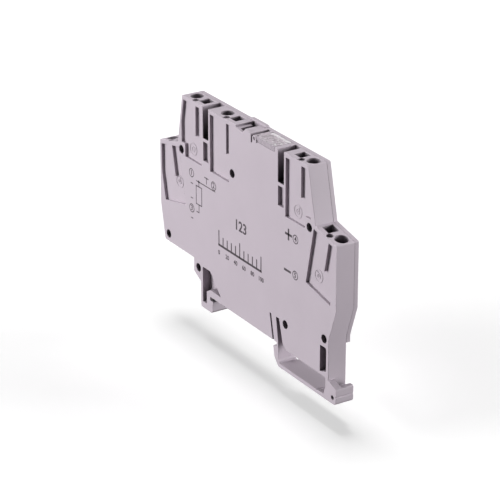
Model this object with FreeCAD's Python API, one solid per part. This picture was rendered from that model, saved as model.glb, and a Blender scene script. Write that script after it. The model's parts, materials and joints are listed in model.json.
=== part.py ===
import FreeCAD
import Part
import math
import os

# Slim rail-mounted temperature transmitter in a terminal block housing.
# X runs along the housing, Y across its thickness, Z up. The origin is on the rail's seat,
# in the middle of the rail's width and of the housing's thickness. Sizes are in millimetres.
# In the side view, x is counted from the rail's middle and z from the rail's seat.
# Depths are counted from the printed side towards the cover.

os.makedirs("parts", exist_ok=True)

# Whole housing
WIDTH = 7.0
HEIGHT = 57.0
END_LEFT = -44.8
END_RIGHT = 46.1
RAIL_WIDTH = 35.0
COVER_THICK = 1.3
WALL = 1.1
FRONT_WALL = 1.0
EDGE_ROUND = 0.4
BODY_DEPTH = WIDTH - COVER_THICK
HALF_RAIL = RAIL_WIDTH / 2

# Side view outline
TOP_LEFT = END_LEFT + 12.8
TOP_RIGHT = END_RIGHT - 13.6
SHOULDER_LEFT = END_LEFT + 10.1
SHOULDER_RIGHT = END_RIGHT - 10.0
LOW_TOP_LEFT = HEIGHT - 16.35
LOW_TOP_RIGHT = HEIGHT - 16.85
END_FOLD = 20.0
COLUMN_OUTER = END_RIGHT - 3.15
COLUMN_TOP = 10.8
LEFT_FLOOR = 9.1
LEFT_CORNER = END_LEFT + 2.3

# Rail seat, fixed hook on the left
RAIL_LIP = 1.1
HOOK_OUTER = -HALF_RAIL - 5.0
HOOK_ROOT = 3.0
HOOK_REACH = 1.55
HOOK_BOTTOM = -4.8
HOOK_CHAMFER = 0.8
STEP_X = HOOK_OUTER - 3.8
STEP_FLOOR = 5.0
RIGHT_SEAT = -0.6
RAIL_PLAY = 0.1

# Release foot on the right: a springy arm, a loop for the screwdriver and a lip
SLIT_TOP = 7.6
ARM_SLIT = 0.7
ARM_SLIT_TOP = HALF_RAIL - 3.1
ARM_SLIT_BOTTOM = HALF_RAIL - 1.5
ARM_THICK = 2.5
ARM_GAP = 1.5
NOSE_REACH = 1.6
NOSE_BOTTOM = -4.7
NOSE_SLOPE = 0.5
FOOT_BOTTOM = -7.1
BAR_THICK = 1.15
BAR_GROOVE = 0.25
BAR_GROOVE_X = COLUMN_OUTER - 5.5
LOOP_LEFT = HALF_RAIL + 0.95
LOOP_RIGHT = COLUMN_OUTER - 1.4
LOOP_FLARE = 1.9
LOOP_SKEW = 0.8
LOOP_ROUND = 1.2
LIP_OUTER = COLUMN_OUTER + 3.8
LIP_TOP = -2.2
LIP_THICK = 2.0
LIP_GROOVE = 0.3
LIP_ROUND = 0.7
VALLEY_FLOOR = -3.5
WEB_THICK = 2.0
WEB_TOP = -0.95
FOOT_HOLE_R = 0.65
FOOT_HOLE_X = COLUMN_OUTER + 2.15
FOOT_HOLE_Z = -5.2
FOOT_HOLE_DEEP = 3.0

# Relief pockets that the moulding has beside the hook and beside the foot
HOOK_POCKET_DEEP = 2.5
HOOK_POCKET_TOP = 8.0
HOOK_POCKET_FLOOR = 2.1
HOOK_POCKET_END = HOOK_BOTTOM + 1.9
FOOT_POCKET_DEEP = 3.2
FOOT_POCKET_WIDE = 2.9
FOOT_POCKET_TOP = 8.0
FOOT_POCKET_FLOOR = 0.2
FOOT_POCKET_SKEW = 0.8
RELIEF_ROUND = 0.3

# Terminals: a round conductor hole, a square driver hole and a small test hole between them
TERMINAL_LEAN = 12.0
T1_X = END_LEFT + 5.05
T2_X = TOP_LEFT + 5.7
T3_X = -9.95
T4_X = TOP_RIGHT - 4.95
T5_X = END_RIGHT - 5.05
HOLE_PITCH = 5.2
CONDUCTOR_R = 1.95
DRIVER_HOLE = 3.3
TEST_R = 1.0
TEST_DEEP = 3.0
TEST_DEPTH = 1.15
HOLE_DEPTH = BODY_DEPTH / 2 + 0.3
HOLE_RUN_OUT = 0.5
HEAD_DEEP = 8.5
HEAD_REACH = 5.3

# Recesses in the printed side, each with a rib at the level of the face
POCKET_DEEP = 0.9
POCKET_EDGE = 0.9
POCKET_RIM = 1.25
POCKET_LONG = 18.2
POCKET_BACK = 0.7
POCKET_NARROW = 2.9
POCKET_INNER = 5.6
POCKET_OUTER = 6.2
POCKET_FLOOR = POCKET_DEEP + POCKET_BACK
RIB_WIDE = 3.2
RIB_LONG = 10.2
PEG_JOG = 2.1
PEG_JOG_HIGH = 2.4

# Jumper slots between the terminals, with a small recess under each
SLOT_NEAR = 17.85
SLOT_WIDE = 2.9
SLOT_FAR = SLOT_NEAR + SLOT_WIDE
SLOT_FLOOR = HEIGHT - 9.5
SLOT_RECESS_TOP = SLOT_FLOOR - 0.95
SLOT_RECESS_FLOOR = SLOT_RECESS_TOP - 5.7
SLOT_RECESS_DEEP = 1.1
SLOT_RECESS_INSET = 0.1

# Marker slot with a ledge, the seat beside it, a tooth before it and the raised edge behind it
MARKER_LEFT = -3.3
MARKER_RIGHT = 0.2
MARKER_DEEP = 1.8
MARKER_LEDGE = 1.2
MARKER_LEDGE_DEEP = 0.65
MARKER_LEDGE_LONG = 3.7
MARKER_SEAT_RIGHT = 3.2
MARKER_SEAT_DEEP = 0.15
MARKER_MOUTH_LEFT = 0.6
MARKER_MOUTH_RIGHT = 1.25
TOOTH_X = 1.5
TOOTH_HIGH = 0.4
TOOTH_THICK = 0.8
BUMP_LEFT = -5.0
BUMP_RIGHT = 2.9
BUMP_HIGH = 0.5
CLIP_WIDE = 0.6
CLIP_DEEP = 0.6

# Clear lid: its barrel turns between two lugs of the housing, and its pins sit in their eyes
HINGE_X = 6.0
BARREL_R = 0.95
LUG_THICK = 1.0
PIN_R = 0.4
PIN_CLEARANCE = 0.05
PIN_SHORT = 0.3
LUG_SLIT_LEFT = 4.3
LUG_SLIT_DEEP = 2.6
LUG_HOOK_HIGH = 0.35
HINGE_NOTCH_RIGHT = 7.6
HINGE_NOTCH_DEEP = 2.5
LID_THICK = 0.8
LID_END = 16.05
LID_GAP = 0.1
FLANGE_THICK = 0.6
FLANGE_HIGH = 1.4
PORT_LEFT = 8.6
PORT_RIGHT = 15.1
TOP_BLOCK_LEFT = -5.5
TOP_BLOCK_DEEP = 3.7
HINGE_Z = HEIGHT - BARREL_R
PLATE_UNDER = HEIGHT - LID_THICK

# Pegs of the cover and their sockets
SOCKET_R = 1.25
SOCKET_WALL = 0.65
PEG_CLEARANCE = 0.05
PEG_LONG = 2.7

# Cover, lower edge
COVER_MID_FLOOR = 1.0
COVER_MID_LEFT = -HALF_RAIL + 5.5
COVER_MID_RIGHT = HALF_RAIL - 6.0
COVER_FOOT_LEFT = HALF_RAIL + 2.2
COVER_FOOT_FLOOR = 4.6
COVER_FOOT_RIGHT = COLUMN_OUTER - 6.45
COVER_RIGHT_FLOOR = 8.7

# Circuit board
BOARD_THICK = 1.0
BOARD_DEPTH = BODY_DEPTH - 3.0
BOARD_BACK = BOARD_DEPTH + BOARD_THICK
BOARD_LEFT = TOP_LEFT + 2.5
BOARD_RIGHT = TOP_RIGHT - 3.0
BOARD_FLOOR = LEFT_FLOOR + 1.9
BOARD_TOP = HEIGHT - 21.5
TONGUE_LEFT = HINGE_X - 0.5
TONGUE_RIGHT = PORT_RIGHT - 0.3
TONGUE_TOP = HEIGHT - 11.0
POST_R = 1.2

# Clamps and contact bars
SPRING_THICK = 0.35
SPRING_WIDE = BODY_DEPTH - POCKET_FLOOR - 0.6
SPRING_LONG = 7.3
SPRING_SHOULDER = 2.1
SPRING_CREST = 1.0
SPRING_HALF = 1.4
SPRING_TIP = 4.9
BAR_STRIP = 0.8
BAR_REACH = 1.7
BAR_HIGH = 1.1
BAR_BEND = 5.5
BAR_FLOOR = 7.9
BAR_FOOT = 0.6
CLAMP_SIDE_GAP = 0.15
TAIL_OVERLAP = 2.0

# Programming socket
SOCKET_PINS = 5
SOCKET_PITCH = 1.27
SOCKET_HIGH = 2.5
SOCKET_THICK = 2.5
PIN_SQUARE = 0.5
PIN_LONG = 1.2

# Rows and columns of the parts on the board
UPPER_ROW = BOARD_TOP - 4.5
MIDDLE_ROW = (BOARD_TOP + BOARD_FLOOR) / 2 - 1.5
LOWER_ROW = BOARD_FLOOR + 3.5
CONVERTER_X = BOARD_LEFT + 12.5
TRANSFORMER_X = TONGUE_LEFT + 1.5
MICRO_X = (CONVERTER_X + TRANSFORMER_X) / 2
ISOLATOR_X = TONGUE_RIGHT + 1.7
OUTPUT_X = BOARD_RIGHT - 6.0
RESISTORS_START = BOARD_LEFT + 3.5
CERAMICS_START = BOARD_LEFT + 7.5

# Moulded chips and other parts: sizes, leads and pitches
CHIP_LIFT = 0.1
LEAD_WIDE = 0.3
LEAD_THICK = 0.35
LEAD_LONG = 1.0
LEAD_INSIDE = 0.1
TAB_LONG = 0.8
TAB_THICK = 0.3
MICRO_SIDE = 7.0
MICRO_THICK = 1.2
MICRO_PITCH = 0.8
CONVERTER_LONG = 6.5
CONVERTER_HIGH = 4.4
CONVERTER_PITCH = 0.65
ISOLATOR_LONG = 5.0
ISOLATOR_HIGH = 4.0
ISOLATOR_THICK = 1.5
FINE_LEAD_COUNT = 8
WIDE_LEAD_COUNT = 4
TALL_PART = 1.8
TRANSFORMER_LONG = 8.0
TRANSFORMER_HIGH = 6.5
TRANSISTOR_LONG = 4.5
TRANSISTOR_HIGH = 6.0
TANTALUM_LONG = 3.5
TANTALUM_HIGH = 2.8
DIODE_LONG = 4.3
DIODE_HIGH = 2.6
CRYSTAL_LONG = 5.0
CRYSTAL_HIGH = 3.2
CRYSTAL_THICK = 0.9
SMALL_COUNT = 6
SMALL_PITCH = 2.2
SMALL_LONG = 1.25
SMALL_HIGH = 2.0
RESISTOR_THICK = 0.5
CERAMIC_THICK = 0.9


def vec(x, depth, z):
    return FreeCAD.Vector(x, depth - WIDTH / 2, z)


def outline(corners):
    """A closed wire in the side view. Each corner is (x, z) or (x, z, radius)."""
    points = [vec(corner[0], 0, corner[1]) for corner in corners]
    radii = [corner[2] if len(corner) > 2 else 0 for corner in corners]
    edges = []
    starts = []
    ends = []
    count = len(points)
    for i in range(count):
        before = (points[i - 1] - points[i]).normalize()
        after = (points[(i + 1) % count] - points[i]).normalize()
        if radii[i] == 0:
            starts.append(points[i])
            ends.append(points[i])
            edges.append(None)
            continue
        half = before.getAngle(after) / 2
        reach = radii[i] / math.tan(half)
        start = points[i] + before * reach
        end = points[i] + after * reach
        bisector = (before + after).normalize()
        middle = points[i] + bisector * (radii[i] / math.sin(half) - radii[i])
        starts.append(start)
        ends.append(end)
        edges.append(Part.Arc(start, middle, end).toShape())
    loop = []
    for i in range(count):
        if edges[i]:
            loop.append(edges[i])
        following = starts[(i + 1) % count]
        if ends[i].distanceToPoint(following) > 1e-6:
            loop.append(Part.LineSegment(ends[i], following).toShape())
    return Part.Wire(loop)


def raised(wire, front, back):
    """A slab of a side view outline, from one depth to another."""
    slab = Part.Face(wire).extrude(FreeCAD.Vector(0, back - front, 0))
    slab.translate(FreeCAD.Vector(0, front, 0))
    return slab


def slab(corners, front, back):
    return raised(outline(corners), front, back)


def block(left, right, floor, top, front, back):
    corners = [(left, floor), (left, top), (right, top), (right, floor)]
    return slab(corners, front, back)


def disc(x, z, radius, front, back):
    """A cylinder across the housing's thickness."""
    return Part.makeCylinder(radius, back - front, vec(x, front, z), FreeCAD.Vector(0, 1, 0))


def fuse(shapes):
    return shapes[0].multiFuse(shapes[1:]).removeSplitter()


def cut(shape, tools):
    return shape.cut(tools).removeSplitter()


def strip(path, thick, front, back):
    """Sheet metal of one thickness, bent along a path in the side view."""
    spine = Part.makePolygon([vec(x, 0, z) for x, z in path])
    edge = spine.makeOffset2D(thick / 2, 0, False, False, False)
    return raised(edge, front, back)


def straight_strip(start, end, thick, front, back):
    """A straight piece of strip with round ends, between two places in the side view."""
    turn = math.atan2(end[1] - start[1], end[0] - start[0])
    side_x = -math.sin(turn) * thick / 2
    side_z = math.cos(turn) * thick / 2
    corners = [
        (start[0] + side_x, start[1] + side_z),
        (end[0] + side_x, end[1] + side_z),
        (end[0] - side_x, end[1] - side_z),
        (start[0] - side_x, start[1] - side_z),
    ]
    ends = [disc(x, z, thick / 2, front, back) for x, z in (start, end)]
    return fuse([slab(corners, front, back)] + ends)


def write(name, shape):
    shape.exportStep("parts/" + name + ".step")


class Terminal:
    """One terminal. Places in it are counted across, towards the conductor, and down."""

    def __init__(self, x, top, side, lean, inner, outer):
        self.x = x
        self.top = top
        self.side = side
        self.lean = math.radians(lean)
        self.inner = inner
        self.outer = outer

    def spot(self, across, down):
        x = self.x + across * self.side * math.cos(self.lean) - down * math.sin(self.lean)
        z = self.top - across * self.side * math.sin(self.lean) - down * math.cos(self.lean)
        return x, z

    def plate(self, near, far, high, low, front, back):
        corners = [self.spot(near, high), self.spot(far, high), self.spot(far, low), self.spot(near, low)]
        return slab(corners, front, back)

    def bore(self, across, depth, radius, deep):
        x, z = self.spot(across, deep)
        axis = FreeCAD.Vector(math.sin(self.lean), 0, math.cos(self.lean))
        return Part.makeCylinder(radius, deep + radius, vec(x, depth, z), axis)


TERMINALS = [
    Terminal(T1_X, LOW_TOP_LEFT, -1, -TERMINAL_LEAN, POCKET_INNER, POCKET_OUTER),
    Terminal(T2_X, HEIGHT, -1, 0, -SLOT_FAR - T2_X - POCKET_EDGE, POCKET_OUTER),
    Terminal(T3_X, HEIGHT, -1, 0, POCKET_NARROW, T3_X + SLOT_NEAR - POCKET_EDGE),
    Terminal(T4_X, HEIGHT, 1, 0, T4_X - SLOT_FAR - POCKET_EDGE, POCKET_OUTER),
    Terminal(T5_X, LOW_TOP_RIGHT, 1, TERMINAL_LEAN, POCKET_INNER, POCKET_OUTER),
]
HIGH_PEGS = [
    (SHOULDER_LEFT + 2.05, LOW_TOP_LEFT - 0.35),
    (T3_X + HOLE_PITCH / 2 + 2.05, LOW_TOP_LEFT + 1.4),
    (SHOULDER_RIGHT - 2.95, LOW_TOP_RIGHT - 0.35),
]
LOW_PEGS = [
    (LEFT_CORNER + 2.05, LEFT_FLOOR + 2.3),
    (STEP_X + 2.55, STEP_FLOOR + 1.9),
    (HALF_RAIL + 4.35, SLIT_TOP - 0.6),
    (COLUMN_OUTER - 2.2, COLUMN_TOP - 0.4),
]
PEGS = HIGH_PEGS + LOW_PEGS


def shoulders():
    """The outline's corners from the left end, over the top, to the right end."""
    fall = math.tan(math.radians(TERMINAL_LEAN))
    left_inner = LOW_TOP_LEFT + (SHOULDER_LEFT - T1_X) * fall
    right_inner = LOW_TOP_RIGHT + (T5_X - SHOULDER_RIGHT) * fall
    left_end = LOW_TOP_LEFT - (T1_X - END_LEFT) * fall
    right_end = LOW_TOP_RIGHT - (END_RIGHT - T5_X) * fall
    return [
        (END_LEFT, END_FOLD),
        (END_LEFT, left_end, EDGE_ROUND),
        (SHOULDER_LEFT, left_inner),
        (TOP_LEFT, HEIGHT, EDGE_ROUND),
        (TOP_RIGHT, HEIGHT, EDGE_ROUND),
        (SHOULDER_RIGHT, right_inner),
        (END_RIGHT, right_end, EDGE_ROUND),
        (END_RIGHT, END_FOLD),
    ]


def body_corners():
    hook_tip = -HALF_RAIL + HOOK_REACH
    nose = HALF_RAIL - NOSE_REACH
    lip_middle = (LIP_TOP + FOOT_BOTTOM) / 2
    right = [
        (COLUMN_OUTER, COLUMN_TOP),
        (COLUMN_OUTER, WEB_TOP),
        (LIP_OUTER, LIP_TOP, LIP_ROUND),
        (LIP_OUTER, lip_middle + LIP_GROOVE),
        (LIP_OUTER - LIP_GROOVE, lip_middle),
        (LIP_OUTER, lip_middle - LIP_GROOVE),
        (LIP_OUTER, FOOT_BOTTOM, LOOP_ROUND),
        (nose + ARM_THICK, FOOT_BOTTOM, LOOP_ROUND),
        (nose + NOSE_SLOPE, NOSE_BOTTOM, LOOP_ROUND),
        (nose, -RAIL_LIP - NOSE_SLOPE),
        (HALF_RAIL + RAIL_PLAY, -RAIL_LIP),
        (HALF_RAIL + RAIL_PLAY, 0),
    ]
    left = [
        (-HALF_RAIL, 0),
        (-HALF_RAIL, -RAIL_LIP),
        (hook_tip, -RAIL_LIP, EDGE_ROUND),
        (hook_tip, HOOK_BOTTOM + HOOK_CHAMFER),
        (hook_tip - HOOK_CHAMFER, HOOK_BOTTOM),
        (HOOK_OUTER, HOOK_BOTTOM, HOOK_CHAMFER),
        (HOOK_OUTER, HOOK_ROOT),
        (STEP_X, STEP_FLOOR),
        (STEP_X, LEFT_FLOOR),
        (LEFT_CORNER, LEFT_FLOOR, EDGE_ROUND),
    ]
    return shoulders() + right + left


def cover_corners():
    right = [
        (COLUMN_OUTER, COLUMN_TOP),
        (COLUMN_OUTER, COVER_RIGHT_FLOOR),
        (COVER_FOOT_RIGHT, COVER_RIGHT_FLOOR),
        (COVER_FOOT_RIGHT, COVER_FOOT_FLOOR),
        (COVER_FOOT_LEFT, COVER_FOOT_FLOOR),
        (COVER_FOOT_LEFT, LEFT_FLOOR),
        (COVER_MID_RIGHT, LEFT_FLOOR),
        (COVER_MID_RIGHT, COVER_MID_FLOOR),
    ]
    left = [
        (COVER_MID_LEFT, COVER_MID_FLOOR),
        (HOOK_OUTER, HOOK_ROOT),
        (STEP_X, STEP_FLOOR),
        (STEP_X, LEFT_FLOOR),
        (LEFT_CORNER, LEFT_FLOOR, EDGE_ROUND),
    ]
    return shoulders() + right + left


def inset(corners, distance):
    """The same outline with sharp corners, moved inwards on every side."""
    points = [vec(corner[0], 0, corner[1]) for corner in corners]
    across = FreeCAD.Vector(0, 1, 0)
    moved = []
    for i in range(len(points)):
        before = across.cross((points[i] - points[i - 1]).normalize())
        after = across.cross((points[(i + 1) % len(points)] - points[i]).normalize())
        point = points[i] + (before + after) * (distance / (1 + before.dot(after)))
        moved.append((point.x, point.z))
    return moved


def foot_openings():
    """The slits that free the springy arm, and the loop under it."""
    lean = (ARM_SLIT_BOTTOM - ARM_SLIT_TOP) / SLIT_TOP
    arm_slit = [
        (ARM_SLIT_TOP - ARM_SLIT / 2, SLIT_TOP),
        (ARM_SLIT_TOP + ARM_SLIT / 2, SLIT_TOP),
        (ARM_SLIT_BOTTOM + ARM_SLIT / 2 + lean, -1),
        (ARM_SLIT_BOTTOM - ARM_SLIT / 2 + lean, -1),
    ]
    inside = ARM_SLIT_TOP + ARM_SLIT / 2 + ARM_THICK
    bar_top = FOOT_BOTTOM + BAR_THICK
    loop = [
        (inside, SLIT_TOP),
        (inside + ARM_GAP, SLIT_TOP),
        (inside + ARM_GAP + LOOP_FLARE, -RIGHT_SEAT, LOOP_ROUND),
        (inside + ARM_GAP + 2 * LOOP_FLARE, RIGHT_SEAT),
        (LOOP_RIGHT, RIGHT_SEAT),
        (LOOP_RIGHT, VALLEY_FLOOR),
        (LOOP_RIGHT - LOOP_SKEW, bar_top),
        (LOOP_LEFT, bar_top, LOOP_ROUND),
        (LOOP_LEFT, -RAIL_LIP),
        (LOOP_LEFT, 0),
    ]
    left = BAR_GROOVE_X - BAR_GROOVE / 2
    groove = block(left, left + BAR_GROOVE, bar_top - BAR_GROOVE, bar_top + WALL, -1, WIDTH + 1)
    return [slab(arm_slit, -1, WIDTH), slab(loop, -1, WIDTH), groove]


def foot_bar():
    """The lower bar of the foot, which is as wide as the whole module."""
    left = LOOP_LEFT + LOOP_ROUND
    return block(left, COLUMN_OUTER, FOOT_BOTTOM, FOOT_BOTTOM + BAR_THICK, 0, WIDTH)


def foot_valley():
    """The hollow between the column and the lip, behind a web."""
    inner = LIP_OUTER - LIP_THICK
    corners = [
        (COLUMN_OUTER, COLUMN_TOP),
        (COLUMN_OUTER, VALLEY_FLOOR),
        (inner, VALLEY_FLOOR),
        (inner, LIP_TOP, LIP_ROUND),
        (LIP_OUTER + 1, LIP_TOP),
        (LIP_OUTER + 1, COLUMN_TOP),
    ]
    return slab(corners, WEB_THICK, WIDTH)


def face_recesses():
    """Recesses in the printed side: one at each terminal and one under each jumper slot."""
    limit = slab(inset(cover_corners(), POCKET_EDGE), -1, POCKET_DEEP)
    jogs = []
    for x, z in (HIGH_PEGS[0], HIGH_PEGS[2]):
        inner = x - math.copysign(PEG_JOG, x)
        outer = x + math.copysign(WALL, x)
        jogs.append(block(inner, outer, z - PEG_JOG, z + PEG_JOG_HIGH, -1, WIDTH))
    recesses = []
    for terminal in TERMINALS:
        near = -terminal.inner
        hollow = terminal.plate(near, terminal.outer, POCKET_RIM, POCKET_LONG, -1, POCKET_DEEP)
        rib = terminal.plate(-RIB_WIDE / 2, RIB_WIDE / 2, 0, RIB_LONG, -1, WIDTH)
        keep = [rib] if terminal.lean else [rib] + jogs
        recesses.append(cut(hollow.common(limit), keep))
    for side in (-1, 1):
        near = side * (SLOT_NEAR + SLOT_RECESS_INSET)
        far = side * (SLOT_FAR - SLOT_RECESS_INSET)
        low = SLOT_RECESS_FLOOR
        recesses.append(block(near, far, low, SLOT_RECESS_TOP, -1, SLOT_RECESS_DEEP))
    return recesses


def pocket_backs():
    """The wall behind each recess, which stands into the hollow of the housing."""
    backs = []
    for terminal in TERMINALS:
        near = -terminal.inner - WALL
        far = terminal.outer + WALL
        backs.append(terminal.plate(near, far, 0, POCKET_LONG + WALL, 0, POCKET_FLOOR))
    for side in (-1, 1):
        near = side * (SLOT_NEAR - WALL)
        far = side * (SLOT_FAR + WALL)
        low = SLOT_RECESS_FLOOR - WALL
        backs.append(block(near, far, low, SLOT_FLOOR, 0, SLOT_RECESS_DEEP + POCKET_BACK))
    return backs


def solid_blocks():
    """What fills the hollow: terminal heads, slot walls, sockets, the top block and board posts."""
    blocks = []
    for terminal in TERMINALS:
        far = terminal.outer + WALL
        near = -max(terminal.inner, HEAD_REACH - WALL) - WALL
        blocks.append(terminal.plate(near, far, -1, HEAD_DEEP, 0, BODY_DEPTH))
    for side in (-1, 1):
        near = side * (SLOT_NEAR - WALL)
        far = side * (SLOT_FAR + WALL)
        blocks.append(block(near, far, SLOT_FLOOR - WALL, HEIGHT, 0, BODY_DEPTH))
    for x, z in PEGS:
        blocks.append(disc(x, z, SOCKET_R + SOCKET_WALL, 0, BODY_DEPTH))
    for x, z in board_posts():
        blocks.append(disc(x, z, POST_R, 0, BOARD_DEPTH))
    hook_end = -HALF_RAIL + HOOK_POCKET_TOP
    blocks.append(block(STEP_X, hook_end, 0, HOOK_POCKET_TOP + WALL, 0, HOOK_POCKET_DEEP + POCKET_BACK))
    low = HEIGHT - TOP_BLOCK_DEEP
    blocks.append(block(TOP_BLOCK_LEFT, PORT_LEFT, low, HEIGHT, 0, BODY_DEPTH))
    blocks.append(block(PORT_RIGHT, SLOT_NEAR, low, HEIGHT, 0, BODY_DEPTH))
    return blocks


def board_posts():
    """Places of the posts that hold the circuit board between housing and cover."""
    low = BOARD_FLOOR + 2 * POST_R
    high = BOARD_TOP - 2 * POST_R
    return [
        (BOARD_LEFT + 2 * POST_R, low),
        (BOARD_RIGHT - 2 * POST_R, low),
        (TONGUE_LEFT - 3 * POST_R, high),
        (TONGUE_RIGHT + 2 * POST_R, high),
    ]


def terminal_holes():
    """Conductor hole, driver hole and test hole of each terminal."""
    holes = []
    half = HOLE_PITCH / 2
    side = DRIVER_HOLE / 2
    for terminal in TERMINALS:
        low = HEAD_DEEP + HOLE_RUN_OUT
        front = HOLE_DEPTH - side
        back = HOLE_DEPTH + side
        holes.append(terminal.bore(half, HOLE_DEPTH, CONDUCTOR_R, low))
        holes.append(terminal.plate(-half - side, side - half, -2, low, front, back))
        holes.append(terminal.bore(0, TEST_DEPTH, TEST_R, TEST_DEEP))
    return holes


def slot_cuts():
    cuts = []
    for side in (-1, 1):
        near = side * SLOT_NEAR
        far = side * SLOT_FAR
        cuts.append(block(near, far, SLOT_FLOOR, HEIGHT + 1, -1, BODY_DEPTH))
    return cuts


def marker_cut():
    """The slot for a marker strip with its ledge, the seat beside it, and its mouth in the face."""
    ledge = HEIGHT - MARKER_LEDGE_DEEP
    ledge_end = FRONT_WALL + MARKER_LEDGE_LONG
    slot_left = MARKER_LEFT + MARKER_LEDGE
    floor = HEIGHT - MARKER_DEEP
    top = HEIGHT + 1
    mouth = [
        (MARKER_LEFT, top),
        (MARKER_LEFT, HEIGHT - MARKER_MOUTH_LEFT),
        (0, HEIGHT - MARKER_MOUTH_RIGHT),
        (TOOTH_X, HEIGHT + TOOTH_HIGH),
        (TOOTH_X, top),
    ]
    seat_floor = HEIGHT - MARKER_SEAT_DEEP
    return [
        block(slot_left, MARKER_RIGHT, floor, top, FRONT_WALL, BODY_DEPTH),
        block(MARKER_LEFT, MARKER_RIGHT, floor, top, ledge_end, BODY_DEPTH),
        block(MARKER_LEFT, MARKER_RIGHT, ledge, top, FRONT_WALL, BODY_DEPTH),
        block(MARKER_RIGHT, MARKER_SEAT_RIGHT, seat_floor, top, FRONT_WALL, BODY_DEPTH),
        slab(mouth, -1, FRONT_WALL),
    ]


def marker_tooth():
    """The pointed tooth on the printed side that holds a marker strip in its slot."""
    corners = [
        (0, HEIGHT - MARKER_MOUTH_RIGHT),
        (TOOTH_X, HEIGHT + TOOTH_HIGH),
        (MARKER_SEAT_RIGHT, HEIGHT),
        (MARKER_SEAT_RIGHT, HEIGHT - MARKER_MOUTH_RIGHT),
    ]
    return slab(corners, 0, TOOTH_THICK)


def hinge_cut():
    """The notch that the lid's barrel turns in, the seats of the lid, and the port under it."""
    low = HEIGHT - HINGE_NOTCH_DEEP
    top = HEIGHT + 1
    left = HINGE_X - BARREL_R - LID_GAP
    right = HINGE_X + BARREL_R + LID_GAP
    end = LID_END + LID_GAP
    under = HEIGHT - FLANGE_HIGH - LID_GAP
    cuts = [
        block(LUG_SLIT_LEFT, HINGE_NOTCH_RIGHT, low, top, LUG_THICK, BODY_DEPTH - LUG_THICK),
        block(LUG_SLIT_LEFT, left, HEIGHT - LUG_SLIT_DEEP, top, -1, BODY_DEPTH),
        block(right, end, PLATE_UNDER - LID_GAP, top, -1, BODY_DEPTH),
        block(right, HINGE_NOTCH_RIGHT, under - LUG_HOOK_HIGH, top, -1, LUG_THICK),
        block(HINGE_NOTCH_RIGHT, end, under, top, -1, FLANGE_THICK + LID_GAP),
        block(PORT_LEFT, PORT_RIGHT, low - TOP_BLOCK_DEEP, top, FRONT_WALL, BODY_DEPTH),
    ]
    for front in (-1, BODY_DEPTH - LUG_THICK):
        back = LUG_THICK if front < 0 else BODY_DEPTH
        lug = disc(HINGE_X, HINGE_Z, BARREL_R, -1, WIDTH)
        above = block(left, right, HINGE_Z, top, front, back)
        cuts.append(above.cut(lug))
    cuts.append(disc(HINGE_X, HINGE_Z, PIN_R + PIN_CLEARANCE, -1, BODY_DEPTH))
    return cuts


def relief_cuts():
    """The deep pockets that thin the moulding at the hook and at the foot."""
    left = HOOK_OUTER + WALL
    inner = -HALF_RAIL - HOOK_REACH - RELIEF_ROUND
    hook = [
        (left, HOOK_POCKET_TOP, RELIEF_ROUND),
        (-HALF_RAIL, HOOK_POCKET_TOP, RELIEF_ROUND),
        (-HALF_RAIL + HOOK_POCKET_TOP - HOOK_POCKET_FLOOR, HOOK_POCKET_FLOOR),
        (-HALF_RAIL, HOOK_POCKET_FLOOR),
        (inner, HOOK_POCKET_FLOOR - WALL),
        (inner, HOOK_POCKET_END),
        (left, HOOK_POCKET_END),
    ]
    right = COLUMN_OUTER - WALL
    foot = [
        (right - FOOT_POCKET_WIDE, FOOT_POCKET_FLOOR),
        (right - FOOT_POCKET_WIDE, FOOT_POCKET_TOP, RELIEF_ROUND),
        (right, FOOT_POCKET_TOP, 2 * RELIEF_ROUND),
        (right, FOOT_POCKET_FLOOR + FOOT_POCKET_SKEW),
    ]
    hole = disc(FOOT_HOLE_X, FOOT_HOLE_Z, FOOT_HOLE_R, -1, FOOT_HOLE_DEEP)
    return [slab(hook, -1, HOOK_POCKET_DEEP), slab(foot, -1, FOOT_POCKET_DEEP), hole]


def housing_body():
    """The moulded housing with its rail hook and its release foot, open on the cover's side."""
    outer = slab(body_corners(), 0, BODY_DEPTH).fuse(foot_bar())
    outer = cut(outer, [foot_valley()] + foot_openings())
    hollow = slab(inset(cover_corners(), WALL), FRONT_WALL, BODY_DEPTH)
    hollow = cut(hollow, solid_blocks() + pocket_backs())
    sockets = [disc(x, z, SOCKET_R, -1, BODY_DEPTH + 1) for x, z in PEGS]
    shape = cut(outer, [hollow])
    shape = cut(shape, face_recesses() + slot_cuts() + marker_cut() + hinge_cut())
    shape = fuse([shape, marker_tooth()])
    return cut(shape, terminal_holes() + relief_cuts() + sockets)


def side_cover():
    """The flat cover with its pegs and the posts that hold the board down."""
    plate = slab(cover_corners(), BODY_DEPTH, WIDTH)
    parts = [plate]
    parts.append(block(BUMP_LEFT, BUMP_RIGHT, HEIGHT - 1, HEIGHT + BUMP_HIGH, BODY_DEPTH, WIDTH))
    for x, z in PEGS:
        parts.append(disc(x, z, SOCKET_R - PEG_CLEARANCE, BODY_DEPTH - PEG_LONG, BODY_DEPTH))
    for x, z in board_posts():
        parts.append(disc(x, z, POST_R, BOARD_BACK, BODY_DEPTH))
    floor = HEIGHT - MARKER_DEEP
    clip_end = MARKER_LEFT + CLIP_WIDE
    clip = block(MARKER_LEFT, clip_end, floor, HEIGHT, BODY_DEPTH - 1, BODY_DEPTH + CLIP_DEEP)
    return cut(fuse(parts), [clip])


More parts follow.
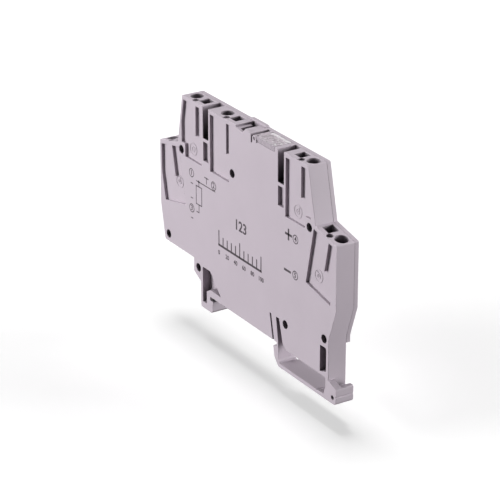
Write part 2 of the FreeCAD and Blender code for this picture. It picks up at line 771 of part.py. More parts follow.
def clear_lid():
    """The clear flap with a barrel, two pins, and a flange flush with the printed side."""
    front = LUG_THICK + LID_GAP
    back = BODY_DEPTH - LUG_THICK - LID_GAP
    start = HINGE_X + BARREL_R + 2 * LID_GAP
    flange_start = HINGE_NOTCH_RIGHT + LID_GAP
    parts = [
        disc(HINGE_X, HINGE_Z, BARREL_R, front, back),
        disc(HINGE_X, HINGE_Z, PIN_R, PIN_SHORT, BODY_DEPTH - PIN_SHORT),
        block(HINGE_X, LID_END, PLATE_UNDER, HEIGHT, front, back),
        block(start, LID_END, PLATE_UNDER, HEIGHT, 0, BODY_DEPTH - LID_GAP),
        block(flange_start, LID_END, HEIGHT - FLANGE_HIGH, HEIGHT, 0, FLANGE_THICK),
    ]
    return fuse(parts)


def circuit_board():
    corners = [
        (BOARD_LEFT, BOARD_FLOOR),
        (BOARD_LEFT, BOARD_TOP),
        (TONGUE_LEFT, BOARD_TOP),
        (TONGUE_LEFT, TONGUE_TOP),
        (TONGUE_RIGHT, TONGUE_TOP),
        (TONGUE_RIGHT, BOARD_TOP),
        (BOARD_RIGHT, BOARD_TOP),
        (BOARD_RIGHT, BOARD_FLOOR),
    ]
    return slab(corners, BOARD_DEPTH, BOARD_BACK)


def clamp_spring(terminal):
    """A leaf spring bent to a loop, whose free leg presses the conductor on the bar."""
    leg = CLAMP_SIDE_GAP - HOLE_PITCH / 2
    path = [
        terminal.spot(leg, HEAD_DEEP + SPRING_LONG),
        terminal.spot(leg, HEAD_DEEP + SPRING_SHOULDER),
        terminal.spot(leg + SPRING_HALF, HEAD_DEEP + SPRING_CREST),
        terminal.spot(leg + 2 * SPRING_HALF, HEAD_DEEP + SPRING_SHOULDER),
        terminal.spot(HOLE_PITCH / 2 + SPRING_CREST, HEAD_DEEP + SPRING_TIP),
    ]
    front = POCKET_FLOOR + CLAMP_SIDE_GAP
    return strip(path, SPRING_THICK, front, front + SPRING_WIDE)


def contact_bar(terminal, pad):
    """The bent bar that the conductor is pressed on, with a tail soldered to the board."""
    half = HOLE_PITCH / 2
    floor = HEAD_DEEP + BAR_FLOOR
    foot = terminal.spot(BAR_FOOT - half, floor)
    path = [
        terminal.spot(half + BAR_REACH, HEAD_DEEP + BAR_HIGH),
        terminal.spot(half + BAR_REACH, HEAD_DEEP + BAR_BEND),
        terminal.spot(half, floor),
        foot,
    ]
    front = POCKET_FLOOR + CLAMP_SIDE_GAP
    bar = strip(path, BAR_STRIP, front, front + SPRING_WIDE)
    tail = straight_strip(foot, pad, BAR_STRIP, front, BOARD_DEPTH)
    return fuse([bar, tail])


def pads():
    """Places on the board where the tails of the contact bars end, in the terminals' order."""
    foot = BAR_FOOT - HOLE_PITCH / 2
    low = TERMINALS[0].spot(foot, HEAD_DEEP + BAR_FLOOR)[1]
    top = BOARD_TOP - TAIL_OVERLAP
    places = [(BOARD_LEFT + TAIL_OVERLAP, low)]
    for terminal in TERMINALS[1:4]:
        places.append((terminal.spot(foot, 0)[0], top))
    places.append((BOARD_RIGHT - TAIL_OVERLAP, low))
    return places


def programming_socket():
    """A row of pins in a block on the end of the board's tongue, under the clear lid."""
    middle = (PORT_LEFT + PORT_RIGHT) / 2
    half = SOCKET_PINS * SOCKET_PITCH / 2
    front = BOARD_DEPTH + (BOARD_THICK - SOCKET_THICK) / 2
    top = TONGUE_TOP + SOCKET_HIGH
    parts = [block(middle - half, middle + half, TONGUE_TOP, top, front, front + SOCKET_THICK)]
    for i in range(SOCKET_PINS):
        x = middle - half + (i + 0.5) * SOCKET_PITCH
        pin_front = BOARD_DEPTH + (BOARD_THICK - PIN_SQUARE) / 2
        side = PIN_SQUARE / 2
        parts.append(block(x - side, x + side, top, top + PIN_LONG, pin_front, pin_front + PIN_SQUARE))
    return fuse(parts)


def body_block(x, z, long, high, front, back):
    return block(x - long / 2, x + long / 2, z - high / 2, z + high / 2, front, back)


def gull_chip(x, z, long, high, thick, leads, pitch):
    """A moulded chip with a row of bent leads on its upper and lower side."""
    front = BOARD_BACK + CHIP_LIFT
    parts = [body_block(x, z, long, high, front, front + thick)]
    for side in (-1, 1):
        middle = z + side * (high / 2 - LEAD_INSIDE + LEAD_LONG / 2)
        for i in range(leads):
            place = x + (i - (leads - 1) / 2) * pitch
            back = BOARD_BACK + LEAD_THICK
            parts.append(body_block(place, middle, LEAD_WIDE, LEAD_LONG, BOARD_BACK, back))
    return fuse(parts)


def small_parts(start, z, thick):
    """A row of like chip parts on the board."""
    back = BOARD_BACK + thick
    places = [start + i * SMALL_PITCH for i in range(SMALL_COUNT)]
    shapes = [body_block(x, z, SMALL_LONG, SMALL_HIGH, BOARD_BACK, back) for x in places]
    return Part.makeCompound(shapes)


def power_part(x, z, long, high, thick, leads):
    """A moulded part with one flat tab at its left end and tabs in a row at its right end."""
    parts = [body_block(x, z, long, high, BOARD_BACK, BOARD_BACK + thick)]
    pitch = high / leads
    back = BOARD_BACK + TAB_THICK
    parts.append(body_block(x - (long + TAB_LONG) / 2, z, TAB_LONG, high / 2, BOARD_BACK, back))
    for i in range(leads):
        middle = z + (i - (leads - 1) / 2) * pitch
        right = x + (long + TAB_LONG) / 2
        parts.append(body_block(right, middle, TAB_LONG, pitch / 2, BOARD_BACK, back))
    return fuse(parts)


def microcontroller():
    size = (MICRO_SIDE, MICRO_SIDE, MICRO_THICK)
    return gull_chip(MICRO_X, MIDDLE_ROW, *size, FINE_LEAD_COUNT, MICRO_PITCH)


def converter():
    """The chip that measures the sensor, near the sensor's terminals."""
    size = (CONVERTER_LONG, CONVERTER_HIGH, MICRO_THICK)
    return gull_chip(CONVERTER_X, MIDDLE_ROW, *size, FINE_LEAD_COUNT, CONVERTER_PITCH)


def isolator():
    size = (ISOLATOR_LONG, ISOLATOR_HIGH, ISOLATOR_THICK)
    return gull_chip(ISOLATOR_X, UPPER_ROW - ISOLATOR_HIGH, *size, WIDE_LEAD_COUNT, SOCKET_PITCH)


def transformer():
    size = (TRANSFORMER_LONG, TRANSFORMER_HIGH, TALL_PART)
    return power_part(TRANSFORMER_X, LOWER_ROW + TRANSFORMER_HIGH / 2, *size, WIDE_LEAD_COUNT)


def transistor():
    """The transistor that drives the output loop, near the loop's terminals."""
    return power_part(OUTPUT_X, MIDDLE_ROW, TRANSISTOR_LONG, TRANSISTOR_HIGH, TALL_PART, WIDE_LEAD_COUNT)


write("housing_body", housing_body())
write("side_cover", side_cover())
write("clear_lid", clear_lid())
write("circuit_board", circuit_board())
for number, (terminal, pad) in enumerate(zip(TERMINALS, pads()), 1):
    write("clamp_spring_" + str(number), clamp_spring(terminal))
    write("contact_bar_" + str(number), contact_bar(terminal, pad))
write("programming_socket", programming_socket())
write("microcontroller_chip", microcontroller())
write("converter_chip", converter())
write("isolator_chip", isolator())
write("isolating_transformer", transformer())
write("loop_transistor", transistor())
write("tantalum_capacitor", power_part(ISOLATOR_X, LOWER_ROW, TANTALUM_LONG, TANTALUM_HIGH, TALL_PART, 1))
write("protection_diode", power_part(OUTPUT_X, UPPER_ROW, DIODE_LONG, DIODE_HIGH, TALL_PART, 1))
write("crystal", power_part(MICRO_X, UPPER_ROW, CRYSTAL_LONG, CRYSTAL_HIGH, CRYSTAL_THICK, 1))
write("resistors", small_parts(RESISTORS_START, UPPER_ROW, RESISTOR_THICK))
write("ceramic_capacitors", small_parts(CERAMICS_START, LOWER_ROW, CERAMIC_THICK))
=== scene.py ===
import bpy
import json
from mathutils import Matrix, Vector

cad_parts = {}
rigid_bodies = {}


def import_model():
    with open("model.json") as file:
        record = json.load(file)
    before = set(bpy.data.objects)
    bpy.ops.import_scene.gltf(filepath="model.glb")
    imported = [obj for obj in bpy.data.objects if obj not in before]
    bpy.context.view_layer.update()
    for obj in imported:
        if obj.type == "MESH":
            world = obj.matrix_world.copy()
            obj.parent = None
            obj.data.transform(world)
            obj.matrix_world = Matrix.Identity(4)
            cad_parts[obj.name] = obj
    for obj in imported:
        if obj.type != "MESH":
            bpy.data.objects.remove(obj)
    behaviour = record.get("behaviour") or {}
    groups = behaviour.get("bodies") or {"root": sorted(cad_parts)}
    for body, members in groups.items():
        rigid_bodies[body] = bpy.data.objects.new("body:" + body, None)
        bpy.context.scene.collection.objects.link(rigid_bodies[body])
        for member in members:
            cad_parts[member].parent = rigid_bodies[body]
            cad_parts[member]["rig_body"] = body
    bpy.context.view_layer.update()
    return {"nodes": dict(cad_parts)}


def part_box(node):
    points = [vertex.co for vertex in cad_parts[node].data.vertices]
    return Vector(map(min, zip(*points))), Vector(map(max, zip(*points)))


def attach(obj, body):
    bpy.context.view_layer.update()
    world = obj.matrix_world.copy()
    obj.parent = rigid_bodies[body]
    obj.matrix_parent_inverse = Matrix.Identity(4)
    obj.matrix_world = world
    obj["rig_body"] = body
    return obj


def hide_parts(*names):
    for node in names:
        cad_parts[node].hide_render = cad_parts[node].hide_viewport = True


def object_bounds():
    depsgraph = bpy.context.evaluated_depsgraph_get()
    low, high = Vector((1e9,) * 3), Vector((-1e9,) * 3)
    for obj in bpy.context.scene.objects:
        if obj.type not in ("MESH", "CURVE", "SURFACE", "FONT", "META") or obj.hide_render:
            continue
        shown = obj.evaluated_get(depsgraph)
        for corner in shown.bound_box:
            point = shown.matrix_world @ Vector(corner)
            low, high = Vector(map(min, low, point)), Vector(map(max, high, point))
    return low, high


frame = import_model()

import json
import math

import bpy
from mathutils import Vector

# Housing.
# One moulding in grey polyamide: the terminal heads, the fixed rail hook and the springy
# release foot are all part of it. Its edges are rounded as the mould leaves them.
MM = 0.001
FACE_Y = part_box("housing_body")[0].y
TOP_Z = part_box("housing_body")[1].z

HOUSING_GREY = (0.566, 0.498, 0.560)
PATTERN_LOW = 0.3
PATTERN_HIGH = 0.7
SHEEN = 0.35
CLOUD_CELLS = 90
GRAIN_CELLS = 5200
GRAIN_HIGH = 0.004 * MM

EDGE_ROUND = 0.10 * MM
EDGE_ANGLE = math.radians(25)
SMOOTH_ANGLE = math.radians(30)
SLIVER = 0.06 * MM
FLAT_ANGLE = math.radians(1.0)

# Painted shade in recesses: the colour darkens by ambient occlusion where walls stand close.
RECESS_REACH = 5.0 * MM
RECESS_CLOSED = 0.12
RECESS_OPEN = 0.60
RECESS_DARK = 0.06
RECESS_SAMPLES = 6

# Painted shade in the two jumper slots: unchanged near the top, near black at the floor.
SLOT_NEAR = 17.85 * MM
SLOT_FAR = 20.75 * MM
SLOT_FLOOR = 47.5 * MM
SLOT_LIT = 1.5 * MM
SLOT_SHADE = (0.004, 0.003, 0.004)
SOFT_END = 0.12 * MM


def deselect():
    """Nothing stays selected, so that an operator acts on one piece alone."""
    if bpy.context.object and bpy.context.object.mode != "OBJECT":
        bpy.ops.object.mode_set(mode="OBJECT")
    bpy.ops.object.select_all(action="DESELECT")


def pick(piece):
    """One piece is selected and active, and nothing else."""
    deselect()
    piece.select_set(True)
    bpy.context.view_layer.objects.active = piece


def material(name):
    """A new material, its node tree and shader, and the object's own coordinates."""
    made = bpy.data.materials.new(name)
    made.use_nodes = True
    tree = made.node_tree
    place = tree.nodes.new("ShaderNodeTexCoord")
    return made, tree, tree.nodes["Principled BSDF"], place.outputs["Object"]


def grain(tree, place, scale, detail=3.0):
    """A noise pattern of a given number of cells to the metre."""
    noise = tree.nodes.new("ShaderNodeTexNoise")
    noise.inputs["Scale"].default_value = scale
    noise.inputs["Detail"].default_value = detail
    tree.links.new(place, noise.inputs["Vector"])
    return noise.outputs["Fac"]


def ramped(tree, value, start, end, low=0.0, high=1.0):
    """A value mapped to low at its start and to high at its end, and held there beyond."""
    ramp = tree.nodes.new("ShaderNodeMapRange")
    ramp.inputs["From Min"].default_value = start
    ramp.inputs["From Max"].default_value = end
    ramp.inputs["To Min"].default_value = low
    ramp.inputs["To Max"].default_value = high
    tree.links.new(value, ramp.inputs["Value"])
    return ramp.outputs["Result"]


def spread(tree, pattern, low, high):
    """A pattern's middle stretch mapped to a range."""
    return ramped(tree, pattern, PATTERN_LOW, PATTERN_HIGH, low, high)


def tone(tree, pattern, colour, depth):
    """A colour that a pattern darkens and lightens a little."""
    ramp = tree.nodes.new("ShaderNodeValToRGB")
    darker, lighter = ramp.color_ramp.elements
    darker.position = PATTERN_LOW
    lighter.position = PATTERN_HIGH
    darker.color = [c * (1 - depth) for c in colour] + [1]
    lighter.color = [min(1, c * (1 + depth)) for c in colour] + [1]
    tree.links.new(pattern, ramp.inputs["Fac"])
    return ramp.outputs["Color"]


def relief(tree, pattern, height, shader):
    """A pattern as a bump of a given height in metres."""
    bump = tree.nodes.new("ShaderNodeBump")
    bump.inputs["Strength"].default_value = 1.0
    bump.inputs["Distance"].default_value = height
    tree.links.new(pattern, bump.inputs["Height"])
    tree.links.new(bump.outputs["Normal"], shader.inputs["Normal"])


def computed(tree, operation, first, second=None):
    """A sum on one or two sockets."""
    result = tree.nodes.new("ShaderNodeMath")
    result.operation = operation
    tree.links.new(first, result.inputs[0])
    if second is not None:
        tree.links.new(second, result.inputs[1])
    return result.outputs["Value"]


def blended(tree, factor, first, second):
    """A mix of two colours, each given as a value or as a socket."""
    mix = tree.nodes.new("ShaderNodeMix")
    mix.data_type = "RGBA"
    tree.links.new(factor, mix.inputs["Factor"])
    for socket, colour in (("A", first), ("B", second)):
        if isinstance(colour, tuple):
            mix.inputs[socket].default_value = (*colour, 1)
        else:
            tree.links.new(colour, mix.inputs[socket])
    return mix.outputs["Result"]


def recess_shade(tree, colour):
    """A colour with painted shade: it darkens where walls stand close around it, as down in a
    slot.
    """
    close = tree.nodes.new("ShaderNodeAmbientOcclusion")
    close.samples = RECESS_SAMPLES
    close.inputs["Distance"].default_value = RECESS_REACH
    level = ramped(tree, close.outputs["AO"], RECESS_CLOSED, RECESS_OPEN, RECESS_DARK)
    darker = tree.nodes.new("ShaderNodeMix")
    darker.data_type = "RGBA"
    darker.blend_type = "MULTIPLY"
    darker.inputs["Factor"].default_value = 1.0
    tree.links.new(colour, darker.inputs["A"])
    tree.links.new(level, darker.inputs["B"])
    return darker.outputs["Result"]


def moulded_plastic(name, colour, cloud=0.02, rough=(0.46, 0.56)):
    """Filled plastic from a finely eroded mould: a soft sheen, faint clouds of colour and
    painted shade in its recesses.
    """
    made, tree, shader, place = material(name)
    shader.inputs["Specular IOR Level"].default_value = SHEEN
    clouds = tone(tree, grain(tree, place, CLOUD_CELLS), colour, cloud)
    tree.links.new(recess_shade(tree, clouds), shader.inputs["Base Color"])
    fine = grain(tree, place, GRAIN_CELLS, 2.0)
    tree.links.new(spread(tree, fine, *rough), shader.inputs["Roughness"])
    relief(tree, fine, GRAIN_HIGH, shader)
    return made


def axes(tree, place):
    """The X, Y and Z of a place as three outputs."""
    split = tree.nodes.new("ShaderNodeSeparateXYZ")
    tree.links.new(place, split.inputs["Vector"])
    return split.outputs


def band(tree, value, low, high):
    """One where a coordinate lies between two values, with soft ends, and nought elsewhere."""
    rise = ramped(tree, value, low - SOFT_END, low + SOFT_END)
    fall = ramped(tree, value, high + SOFT_END, high - SOFT_END)
    return computed(tree, "MULTIPLY", rise, fall)


def darken_slots(made):
    """Painted shade in the two jumper slots: they grow dark towards their floor, where hardly
    any light comes.
    """
    tree = made.node_tree
    colour = tree.nodes["Principled BSDF"].inputs["Base Color"]
    x, y, z = axes(tree, tree.nodes["Texture Coordinate"].outputs["Object"])
    out = computed(tree, "ABSOLUTE", x)
    across = band(tree, out, SLOT_NEAR - 2 * SOFT_END, SLOT_FAR + 2 * SOFT_END)
    behind = band(tree, y, FACE_Y + 2 * SOFT_END, -FACE_Y)
    inside = computed(tree, "MULTIPLY", across, behind)
    above = band(tree, z, SLOT_FLOOR - SOFT_END, TOP_Z)
    inside = computed(tree, "MULTIPLY", inside, above)
    depth = ramped(tree, z, TOP_Z - SLOT_LIT, SLOT_FLOOR)
    dark = computed(tree, "MULTIPLY", inside, depth)
    shaded = blended(tree, dark, colour.links[0].from_socket, SLOT_SHADE)
    tree.links.new(shaded, colour)


def dress(piece, made):
    """A piece in one material."""
    piece.data.materials.clear()
    piece.data.materials.append(made)


def rounded_copy(node, name):
    """A copy of a CAD node with its facets joined to flat faces and its edges rounded."""
    source = frame["nodes"][node]
    piece = bpy.data.objects.new(name, source.data.copy())
    bpy.context.scene.collection.objects.link(piece)
    pick(piece)
    bpy.ops.object.mode_set(mode="EDIT")
    bpy.ops.mesh.select_all(action="SELECT")
    bpy.ops.mesh.remove_doubles(threshold=SLIVER)
    bpy.ops.mesh.dissolve_limited(angle_limit=FLAT_ANGLE)
    bpy.ops.object.mode_set(mode="OBJECT")
    bevel = piece.modifiers.new("edges", "BEVEL")
    bevel.width = EDGE_ROUND
    bevel.segments = 2
    bevel.limit_method = "ANGLE"
    bevel.angle_limit = EDGE_ANGLE
    bevel.use_clamp_overlap = False
    bevel.loop_slide = False
    bpy.ops.object.modifier_apply(modifier="edges")
    bpy.ops.object.shade_smooth_by_angle(angle=SMOOTH_ANGLE)
    flat = piece.modifiers.new("flat_faces", "WEIGHTED_NORMAL")
    flat.keep_sharp = True
    bpy.ops.object.modifier_apply(modifier="flat_faces")
    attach(piece, frame["nodes"][node]["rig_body"])
    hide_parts(node)
    return piece


housing_plastic = moulded_plastic("grey housing plastic", HOUSING_GREY)
# Painted shade in the jumper slots, laid into the housing's colour.
darken_slots(housing_plastic)
housing = rounded_copy("housing_body", "moulded_housing")
dress(housing, housing_plastic)

# Printing on the flat side.
# Dark ink from a printing pad: a diagram of the sensor with its numbered terminals, a plain
# scale, and the two poles of the output. The film of ink is a few hundredths thick.
# Places are counted in millimetres, along the housing and up from the rail's seat.
INK = (0.075, 0.060, 0.072)
INK_THICK = 0.03 * MM
INK_Y = FACE_Y - 0.02 * MM
FINE_LINE = 0.28 * MM
RULED_LINE = 0.45 * MM
BOLD_LINE = 0.68 * MM
MARK_RING = 1.2 * MM
NODE_DOT = 0.42 * MM
MARK_DIGIT = 1.5 * MM
SCALE_DIGIT = 1.3 * MM
BOLD_DIGIT = 3.0 * MM
DIGIT_SHARE = 0.7
DIGIT_BOLD = 0.03
WELD = 0.0005 * MM


def place_on_face(x, z, front, thick):
    """A place in the side view, halfway through a thin layer."""
    return (x * MM, front + thick / 2, z * MM)


def stroke(start, end, wide, front=INK_Y, thick=INK_THICK):
    """A straight stroke between two places in the side view."""
    run = (end[0] - start[0], end[1] - start[1])
    middle = ((start[0] + end[0]) / 2, (start[1] + end[1]) / 2)
    deselect()
    bpy.ops.mesh.primitive_cube_add(
        size=1,
        location=place_on_face(*middle, front, thick),
        rotation=(0, -math.atan2(run[1], run[0]), 0),
        scale=(math.hypot(*run) * MM + wide, thick, wide),
    )
    return bpy.context.object


def ring(x, z, radius, wide, front=INK_Y, thick=INK_THICK):
    """A round line about a place in the side view."""
    deselect()
    bpy.ops.mesh.primitive_torus_add(
        location=place_on_face(x, z, front, thick),
        rotation=(math.pi / 2, 0, 0),
        major_radius=radius,
        minor_radius=wide / 2,
        major_segments=48,
        minor_segments=8,
    )
    bpy.context.object.scale = (1, 1, thick / wide)
    return bpy.context.object


def dot(x, z, radius):
    """A round spot of ink."""
    deselect()
    bpy.ops.mesh.primitive_cylinder_add(
        vertices=24,
        radius=radius,
        depth=INK_THICK,
        location=place_on_face(x, z, INK_Y, INK_THICK),
        rotation=(math.pi / 2, 0, 0),
    )
    return bpy.context.object


def figures(number, x, z, high):
    """A printed number in the plain built-in face."""
    deselect()
    bpy.ops.object.text_add(
        location=place_on_face(x, z, INK_Y, INK_THICK),
        rotation=(math.pi / 2, 0, 0),
    )
    written = bpy.context.object
    written.data.body = number
    written.data.align_x = "CENTER"
    written.data.align_y = "CENTER"
    written.data.size = high / DIGIT_SHARE
    written.data.extrude = INK_THICK / 2
    written.data.offset = high * DIGIT_BOLD
    written.data.resolution_u = 4
    bpy.ops.object.convert(target="MESH")
    return bpy.context.object


def numbered(number, x, z):
    """A terminal's number in its ring."""
    return [ring(x, z, MARK_RING, FINE_LINE), figures(number, x, z, MARK_DIGIT)]


def joined(pieces, name):
    """Many small shapes as one piece, with its place in its mesh."""
    deselect()
    for piece in pieces:
        piece.select_set(True)
    bpy.context.view_layer.objects.active = pieces[0]
    bpy.ops.object.join()
    whole = bpy.context.object
    whole.name = name
    bpy.ops.object.transform_apply(location=True, rotation=True, scale=True)
    bpy.ops.object.mode_set(mode="EDIT")
    bpy.ops.mesh.select_all(action="SELECT")
    bpy.ops.mesh.remove_doubles(threshold=WELD)
    bpy.ops.mesh.normals_make_consistent(inside=False)
    bpy.ops.object.mode_set(mode="OBJECT")
    return whole


def sensor_diagram():
    """Three numbered terminals, the lead between two of them, and the sensor's resistor."""
    left, right, low, high = -24.65, -21.65, 26.5, 32.0
    middle = (left + right) / 2
    lead = 33.5
    foot = 24.1
    tee = -19.0
    shapes = numbered("1", -27.15, 35.0)
    shapes += numbered("2", -15.15, 35.0)
    shapes += numbered("3", -27.15, 24.2)
    shapes.append(stroke((-24.5, lead), (-14.4, lead), FINE_LINE))
    shapes.append(dot(middle, lead, NODE_DOT))
    lines = [
        ((middle, lead), (middle, high)),
        ((left, high), (right, high)),
        ((right, high), (right, low)),
        ((right, low), (left, low)),
        ((left, low), (left, high)),
        ((middle, low), (middle, foot)),
        ((middle, foot), (-24.4, foot)),
        ((tee - 1.0, 36.0), (tee + 1.0, 36.0)),
        ((tee, 36.0), (tee, 34.3)),
    ]
    lines += [((-27.5, z), (-26.6, z)) for z in (31.9, 27.4, 21.2)]
    for start, end in lines:
        shapes.append(stroke(start, end, FINE_LINE))
    return shapes


def measuring_scale():
    """A ruled scale with numbers under it, and a bold number over it."""
    left, right, low = -12.4, 9.6, 18.2
    steps = 10
    numbers = 15.8
    shapes = [figures("123", -0.9, 27.5, BOLD_DIGIT)]
    shapes.append(stroke((left, low), (right, low), BOLD_LINE))
    for step in range(steps + 1):
        x = left + (right - left) * step / steps
        tall = 4.2 if step % 5 == 0 else 2.6
        shapes.append(stroke((x, low), (x, low + tall), RULED_LINE))
        if step % 2 == 0:
            shapes.append(figures(str(step * 10), x, numbers, SCALE_DIGIT))
    return shapes


def output_poles():
    """The plus and minus poles of the output with their numbers."""
    shapes = numbered("4", 26.65, 34.0) + numbered("5", 26.65, 23.5)
    shapes.append(stroke((21.9, 34.2), (24.6, 34.2), BOLD_LINE))
    shapes.append(stroke((23.25, 32.85), (23.25, 35.55), BOLD_LINE))
    shapes.append(stroke((21.5, 23.5), (24.2, 23.5), BOLD_LINE))
    return shapes


printing = joined(sensor_diagram() + measuring_scale() + output_poles(), "printing")
dress(printing, moulded_plastic("dark ink", INK, 0.10, (0.5, 0.6)))
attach(printing, frame["nodes"]["housing_body"]["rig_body"])

# Marks of the mould.
# The mould's date clocks stand up a little on four pocket floors, in the housing's own
# plastic: two rings and a pointer, here without figures.
POCKET_Y = FACE_Y + 0.9 * MM
MARK_HIGH = 0.16 * MM
MARK_PROUD = 0.8 * MARK_HIGH
MARK_LINE = 0.30 * MM
CLOCK_OUTER = 1.8 * MM
CLOCK_INNER = 0.7 * MM
POINTER_LONG = 1.35
CLOCKS = ((26.5, 41.9, 0.6), (36.7, 27.0, -0.5), (-27.4, 41.9, 1.2), (-35.2, 29.4, 0.2))


def date_clock(x, z, lean):
    """Two rings and a pointer that leans by an angle from straight up."""
    layer = (MARK_LINE, POCKET_Y - MARK_PROUD, MARK_HIGH)
    tip = (x + POINTER_LONG * math.sin(lean), z + POINTER_LONG * math.cos(lean))
    return [
        ring(x, z, CLOCK_OUTER, *layer),
        ring(x, z, CLOCK_INNER, *layer),
        stroke((x, z), tip, *layer),
    ]


clock_shapes = []
for clock in CLOCKS:
    clock_shapes += date_clock(*clock)
mould_marks = joined(clock_shapes, "mould_marks")
dress(mould_marks, housing_plastic)
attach(mould_marks, frame["nodes"]["housing_body"]["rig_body"])

# Side cover.
# A flat plate in the same plastic, held by seven pegs. Its parting line with the housing
# runs all round, and its edge stands up behind the marker slot.
COVER_GREY = [c * 0.98 for c in HOUSING_GREY]

cover_plastic = moulded_plastic("grey cover plastic", COVER_GREY)
cover = rounded_copy("side_cover", "moulded_cover")
dress(cover, cover_plastic)

# Clear lid.
# A flap of clear polycarbonate over the programming port, moulded with its barrel and two
# pins that snap into the eyes of the housing's lugs. Its inside is grained, and only a
# smooth edge along the cover is left free of it.
LID_TINT = (0.50, 0.42, 0.48)
LID_PALE = (0.95, 0.90, 0.94)
LID_CLEAR = 0.15
LID_IOR = 1.5
LID_FRONT_Y = -2.7 * MM
LID_SMOOTH_Y = 1.1 * MM
LID_BACK_Y = 2.0 * MM
LID_WAVE_CELLS = 650
LID_WAVE_HIGH = 0.012 * MM
# Painted glints: pale specks scattered over the grained part of the lid.
LID_GLINT_CELLS = 1500
LID_GLINT_FROM = 0.58
LID_GLINT_FULL = 0.66


def clear_plastic(name):
    """Clear plastic, cloudy from its grained inside, with pale specks of painted glint and a
    pale edge.
    """
    made, tree, shader, place = material(name)
    shader.inputs["Transmission Weight"].default_value = LID_CLEAR
    shader.inputs["IOR"].default_value = LID_IOR
    depth = axes(tree, place)["Y"]
    grained = band(tree, depth, LID_FRONT_Y, LID_SMOOTH_Y)
    waves = grain(tree, place, LID_WAVE_CELLS, 2.0)
    clouds = blended(tree, grained, HOUSING_GREY, tone(tree, waves, LID_TINT, 0.30))
    # Painted glints: pale specks where the noise runs high, only on the grained part.
    specks = grain(tree, place, LID_GLINT_CELLS, 1.0)
    specks = ramped(tree, specks, LID_GLINT_FROM, LID_GLINT_FULL)
    specks = computed(tree, "MULTIPLY", specks, grained)
    edge = band(tree, depth, LID_SMOOTH_Y, LID_BACK_Y)
    pale = computed(tree, "MAXIMUM", specks, edge)
    tree.links.new(blended(tree, pale, clouds, LID_PALE), shader.inputs["Base Color"])
    tree.links.new(spread(tree, waves, 0.20, 0.35), shader.inputs["Roughness"])
    relief(tree, waves, LID_WAVE_HIGH, shader)
    return made


dress(frame["nodes"]["clear_lid"], clear_plastic("clear lid plastic"))

# Circuit board.
# Green lacquered laminate between housing and cover, with a tongue under the clear lid.
# Faint lines of its copper show through the lacquer.
BOARD_GREEN = (0.020, 0.110, 0.045)
TRACK_CELLS = 420
TRACK_WIDE = 0.03
GLOSS_CELLS = 1500


def board_laminate(name):
    """Lacquer with a net of lines, uneven in its gloss."""
    made, tree, shader, place = material(name)
    tracks = tree.nodes.new("ShaderNodeTexBrick")
    tracks.inputs["Scale"].default_value = TRACK_CELLS
    tracks.inputs["Color1"].default_value = (*[c * 0.8 for c in BOARD_GREEN], 1)
    tracks.inputs["Color2"].default_value = (*BOARD_GREEN, 1)
    tracks.inputs["Mortar"].default_value = (*[c * 1.5 for c in BOARD_GREEN], 1)
    tracks.inputs["Mortar Size"].default_value = TRACK_WIDE
    tree.links.new(place, tracks.inputs["Vector"])
    tree.links.new(tracks.outputs["Color"], shader.inputs["Base Color"])
    gloss = grain(tree, place, GLOSS_CELLS)
    tree.links.new(spread(tree, gloss, 0.2, 0.35), shader.inputs["Roughness"])
    return made


dress(frame["nodes"]["circuit_board"], board_laminate("green laminate"))

# Clamps and contact bars.
# Stainless spring leaves and tinned copper bars, punched from strip and bent. Each leaf
# presses a conductor on its bar, and the bar is soldered to the board.
SPRING_STEEL = (0.50, 0.50, 0.51)
TINNED = (0.62, 0.62, 0.60)
ROLLED_STRETCH = (400, 9000, 400)
ROLLED_HIGH = 0.002 * MM
TERMINAL_COUNT = 5


def rolled_strip(name, colour):
    """Metal strip with the fine lines of its rolling along it."""
    made, tree, shader, place = material(name)
    shader.inputs["Metallic"].default_value = 1.0
    lines = tree.nodes.new("ShaderNodeMapping")
    lines.inputs["Scale"].default_value = ROLLED_STRETCH
    tree.links.new(place, lines.inputs["Vector"])
    rolled = grain(tree, lines.outputs["Vector"], 1.0)
    tree.links.new(tone(tree, rolled, colour, 0.12), shader.inputs["Base Color"])
    tree.links.new(spread(tree, rolled, 0.28, 0.45), shader.inputs["Roughness"])
    relief(tree, rolled, ROLLED_HIGH, shader)
    return made


spring_metal = rolled_strip("spring steel", SPRING_STEEL)
bar_metal = rolled_strip("tinned copper", TINNED)
for number in range(1, TERMINAL_COUNT + 1):
    dress(frame["nodes"]["clamp_spring_" + str(number)], spring_metal)
    dress(frame["nodes"]["contact_bar_" + str(number)], bar_metal)

# Parts on the board.
# Black moulded chips, a plated crystal can, an ochre tantalum block and small ceramic
# chips, all soldered flat on the board. The black pin row stands under the clear lid.
PARTS_BLACK = (0.020, 0.020, 0.022)
PART_COLOURS = {
    "programming_socket": PARTS_BLACK,
    "microcontroller_chip": PARTS_BLACK,
    "converter_chip": PARTS_BLACK,
    "isolator_chip": PARTS_BLACK,
    "isolating_transformer": PARTS_BLACK,
    "loop_transistor": PARTS_BLACK,
    "protection_diode": PARTS_BLACK,
    "resistors": PARTS_BLACK,
    "tantalum_capacitor": (0.45, 0.26, 0.04),
    "ceramic_capacitors": (0.36, 0.25, 0.15),
}
for node, colour in PART_COLOURS.items():
    dress(frame["nodes"][node], moulded_plastic(node + " finish", colour, 0.08, (0.35, 0.5)))
dress(frame["nodes"]["crystal"], rolled_strip("crystal can", SPRING_STEEL))

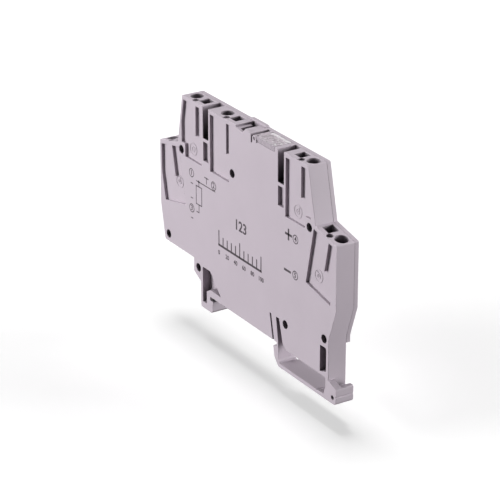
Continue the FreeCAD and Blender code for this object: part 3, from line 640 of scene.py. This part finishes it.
# Studio.
# White paper a little below the module, with a soft lamp right above that throws a narrow
# shadow on it, a broad low light on the printed side and a weaker one on the right end.
FLOOR_DROP = 8.3 * MM
FLOOR_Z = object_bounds()[0].z - FLOOR_DROP
FLOOR_SIZE = 3.0
FLOOR_WHITE = (0.95, 0.95, 0.95)
FLOOR_BOUNCE = (0.10, 0.10, 0.10)
FIBRE_CELLS = 40
FIBRE_DEPTH = 0.004
NEAR_GLOW = 0.22
FAR_GLOW = 0.60
GLOW_FROM = 0.06
GLOW_TO = 0.30
LAMP_AIM = (0, 0, 0.02)
ROOM_LIGHT = 0.01
CAMERA_PLACE = (0.506134, -0.319804, 0.281820)
CAMERA_AIM = (-0.7754, 0.4884, -0.4003)
CAMERA_FOCAL = 2351.93
CAMERA_NEAR = 0.01
IMAGE_SIZE = 500
SENSOR = 36.0

deselect()
bpy.ops.mesh.primitive_plane_add(size=FLOOR_SIZE, location=(0, 0, FLOOR_Z))
floor = bpy.context.object
floor.name = "studio_floor"


def floor_paper(name):
    """Paper that is white to the camera, shadow apart, and throws little light back up."""
    made, tree, shader, place = material(name)
    shader.inputs["Roughness"].default_value = 1.0
    shader.inputs["Specular IOR Level"].default_value = 0.0
    fibres = grain(tree, place, FIBRE_CELLS)
    seen = tree.nodes.new("ShaderNodeLightPath").outputs["Is Camera Ray"]
    bounced = tone(tree, fibres, FLOOR_BOUNCE, FIBRE_DEPTH)
    shown = tone(tree, fibres, FLOOR_WHITE, FIBRE_DEPTH)
    tree.links.new(blended(tree, seen, bounced, shown), shader.inputs["Base Color"])
    reach = tree.nodes.new("ShaderNodeVectorMath")
    reach.operation = "LENGTH"
    tree.links.new(place, reach.inputs[0])
    lift = ramped(tree, reach.outputs["Value"], GLOW_FROM, GLOW_TO, NEAR_GLOW, FAR_GLOW)
    glow = tree.nodes.new("ShaderNodeEmission")
    tree.links.new(computed(tree, "MULTIPLY", seen, lift), glow.inputs["Strength"])
    both = tree.nodes.new("ShaderNodeAddShader")
    tree.links.new(shader.outputs["BSDF"], both.inputs[0])
    tree.links.new(glow.outputs["Emission"], both.inputs[1])
    tree.links.new(both.outputs["Shader"], tree.nodes["Material Output"].inputs["Surface"])
    return made


dress(floor, floor_paper("studio paper"))


def lamp(name, place, size, power):
    """A square soft lamp that points at the module."""
    deselect()
    bpy.ops.object.light_add(type="AREA", location=place)
    made = bpy.context.object
    made.name = name
    made.data.size = size
    made.data.energy = power
    aim = Vector(LAMP_AIM) - Vector(place)
    made.rotation_euler = aim.to_track_quat("-Z", "Y").to_euler()


lamp("overhead_lamp", (-0.13, 0.03, 0.80), 0.27, 2.8)
lamp("front_lamp", (-0.50, -0.88, 0.17), 0.6, 15.0)
lamp("side_lamp", (0.62, 0.75, 0.17), 0.4, 10.3)

# A white room that the eye, gloss and clear plastic see, but that gives little light.
room = bpy.data.worlds.new("studio")
bpy.context.scene.world = room
room.use_nodes = True
path = room.node_tree.nodes.new("ShaderNodeLightPath")
seen = path.outputs["Is Camera Ray"]
for ray in ("Is Glossy Ray", "Is Transmission Ray"):
    seen = computed(room.node_tree, "MAXIMUM", seen, path.outputs[ray])
backdrop = room.node_tree.nodes["Background"]
backdrop.inputs["Color"].default_value = (1, 1, 1, 1)
room_level = ramped(room.node_tree, seen, 0.0, 1.0, ROOM_LIGHT)
room.node_tree.links.new(room_level, backdrop.inputs["Strength"])

deselect()
bpy.ops.object.camera_add(location=CAMERA_PLACE)
camera = bpy.context.object
camera.rotation_euler = Vector(CAMERA_AIM).to_track_quat("-Z", "Y").to_euler()
camera.data.sensor_width = SENSOR
camera.data.lens = CAMERA_FOCAL * SENSOR / IMAGE_SIZE
camera.data.clip_start = CAMERA_NEAR
bpy.context.scene.camera = camera

bpy.context.scene.view_settings.view_transform = "Standard"
